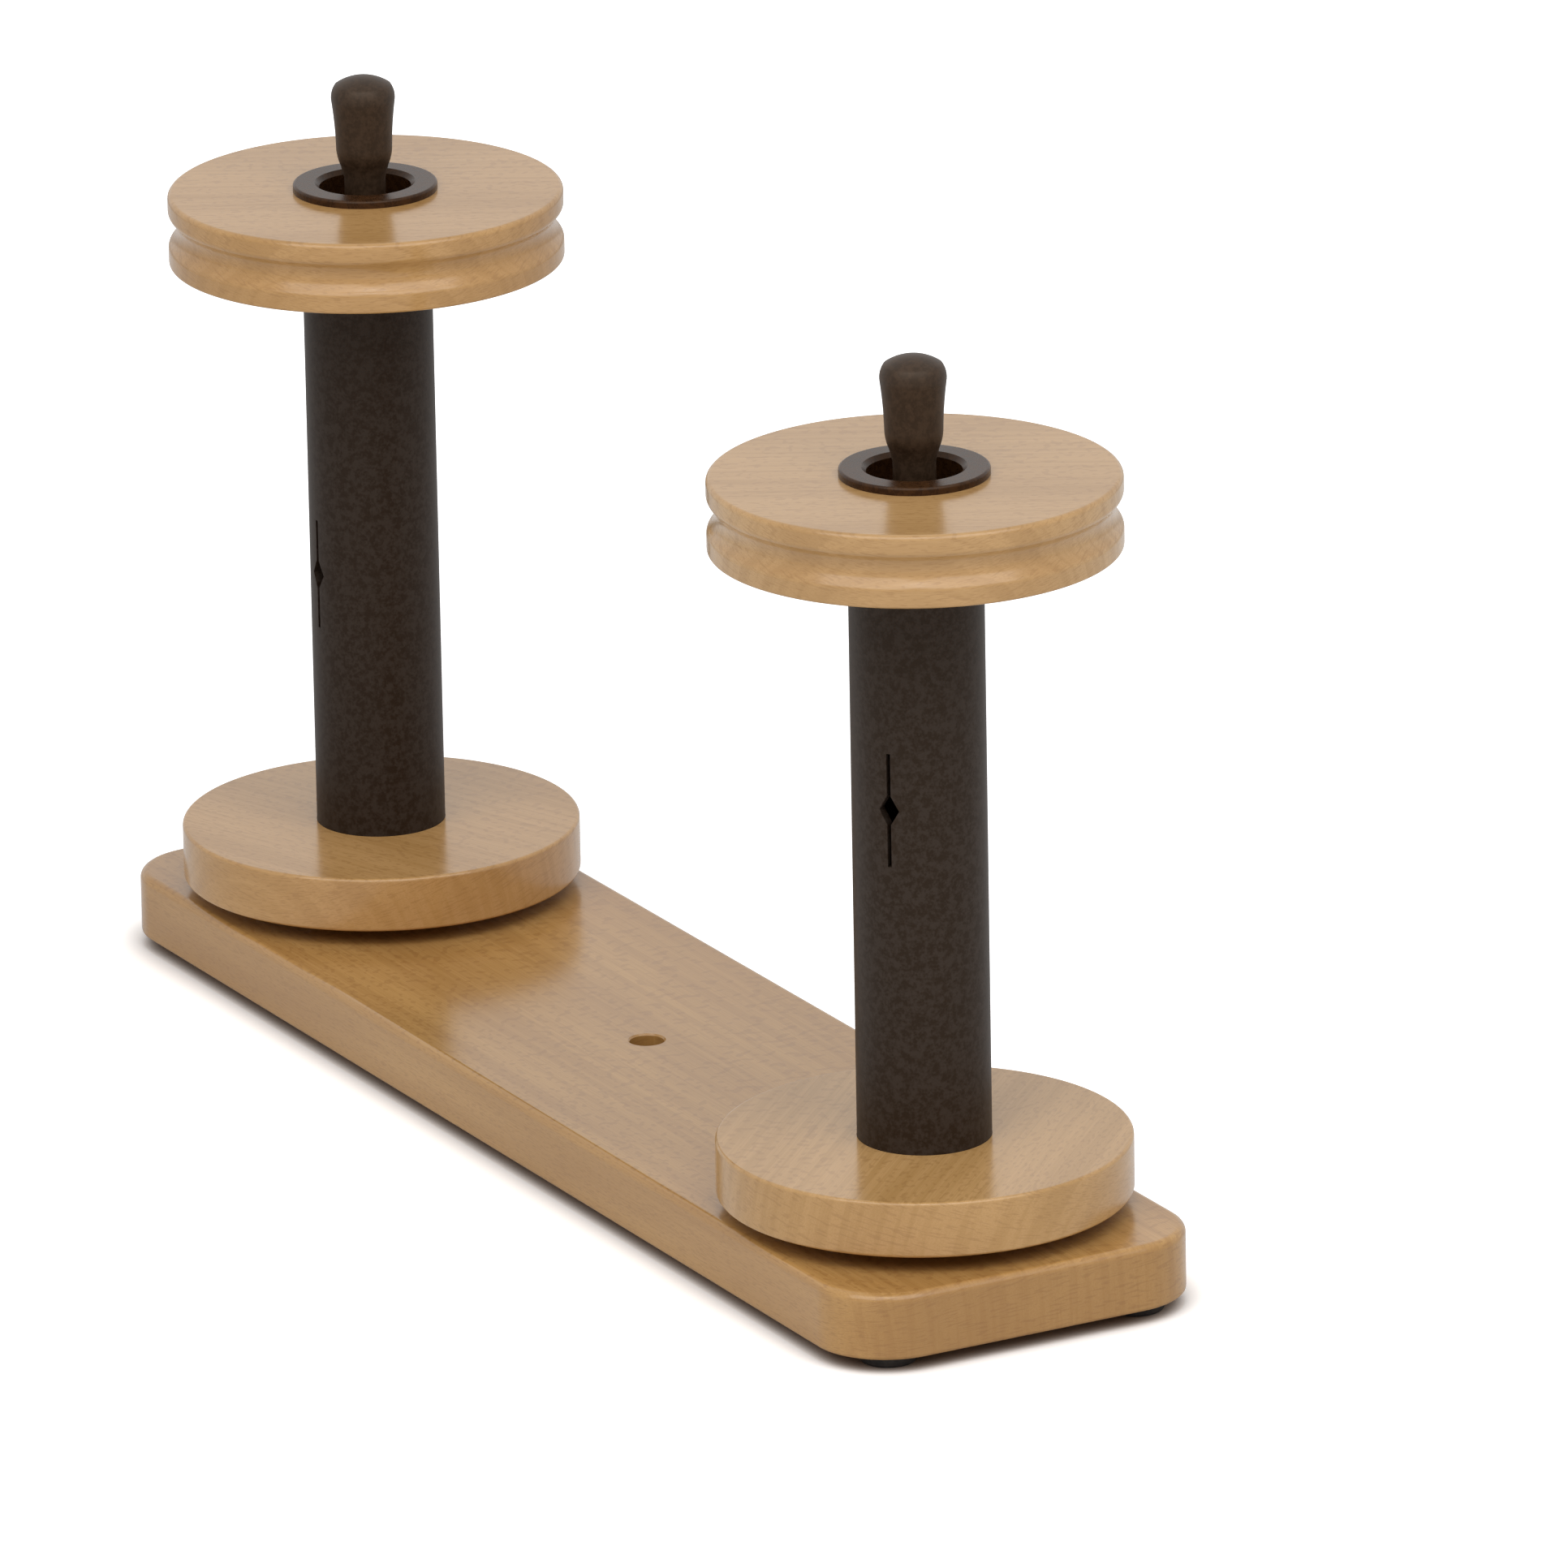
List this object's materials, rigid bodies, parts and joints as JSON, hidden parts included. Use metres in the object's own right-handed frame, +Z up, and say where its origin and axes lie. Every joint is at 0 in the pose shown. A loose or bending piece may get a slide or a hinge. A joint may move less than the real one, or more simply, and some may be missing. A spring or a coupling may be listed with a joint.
{
  "type": "lazy kate",
  "caption": "Lacquered beech board on rubber feet with turned yarn bobbins on pull-out upright spindles and a spare spindle hole in the middle.",
  "frame": {"origin": "middle of the board's plan at the plane the rubber feet stand on", "axes": "+X along the board's length, +Y across it, +Z up along the spindles"},
  "size_m": [0.46, 0.1188, 0.2752],
  "materials": {
    "beech": "turned and planed beech under clear satin lacquer",
    "tube_plastic": "extruded dark brown plastic tube",
    "bush_plastic": "moulded black-brown plastic",
    "knob_plastic": "moulded black-brown plastic, lightly worn",
    "steel": "bright drawn steel",
    "felt": "dark pressed wool felt",
    "rubber": "moulded black rubber"
  },
  "bodies": {
    "base": {"base_board": "beech", "rubber_foot_left_front": "rubber", "rubber_foot_left_back": "rubber", "rubber_foot_right_front": "rubber", "rubber_foot_right_back": "rubber", "left_felt_washer": "felt", "right_felt_washer": "felt"},
    "left_bobbin": {"left_lower_flange": "beech", "left_core_tube": "tube_plastic", "left_upper_flange": "beech", "left_top_bush": "bush_plastic", "left_bottom_bush": "bush_plastic"},
    "left_spindle": {"left_spindle_rod": "steel", "left_spindle_knob": "knob_plastic"},
    "right_bobbin": {"right_lower_flange": "beech", "right_core_tube": "tube_plastic", "right_upper_flange": "beech", "right_top_bush": "bush_plastic", "right_bottom_bush": "bush_plastic"},
    "right_spindle": {"right_spindle_rod": "steel", "right_spindle_knob": "knob_plastic"}
  },
  "joints": [
    {"name": "left_bobbin_spin", "type": "hinge", "parent": "base", "child": "left_bobbin", "pos_m": [-0.1665, 0, 0.0235], "axis": [0, 0, 1], "continuous": true},
    {"name": "left_spindle_lift", "type": "slide", "parent": "base", "child": "left_spindle", "axis": [0, 0, 1], "range_m": [0, 0.235]},
    {"name": "right_bobbin_spin", "type": "hinge", "parent": "base", "child": "right_bobbin", "pos_m": [0.1665, 0, 0.0235], "axis": [0, 0, 1], "continuous": true},
    {"name": "right_spindle_lift", "type": "slide", "parent": "base", "child": "right_spindle", "axis": [0, 0, 1], "range_m": [0, 0.235]}
  ]
}
